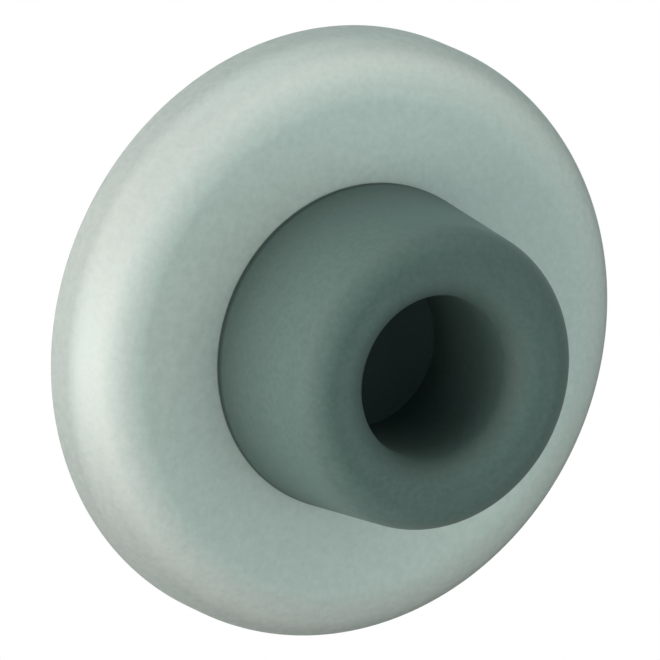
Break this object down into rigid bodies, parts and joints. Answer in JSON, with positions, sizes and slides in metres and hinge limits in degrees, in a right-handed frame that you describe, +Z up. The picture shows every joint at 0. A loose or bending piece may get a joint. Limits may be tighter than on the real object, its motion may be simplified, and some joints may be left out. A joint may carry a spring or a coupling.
{
  "type": "wall door stop",
  "caption": "Round wall door stop with a satin steel rose and a projecting rubber ring whose deep recess takes the button of a door knob.",
  "frame": {"origin": "centre of the back, on the wall's surface", "axes": "+Y into the wall along the axis of the stop, so the bumper points along -Y into the room; +Z up; +X to the right as one faces the wall"},
  "size_m": [0.0636, 0.0609, 0.0636],
  "materials": {
    "satin_stainless": "fine satin finish",
    "grey_rubber": "matt moulded rubber",
    "zinc_plated_steel": "zinc plated",
    "nylon": "natural moulded nylon"
  },
  "bodies": {
    "root": {"rose": "satin_stainless", "bumper": "grey_rubber", "backing_plate": "zinc_plated_steel", "mounting_screw": "zinc_plated_steel", "wall_plug": "nylon"}
  },
  "joints": []
}
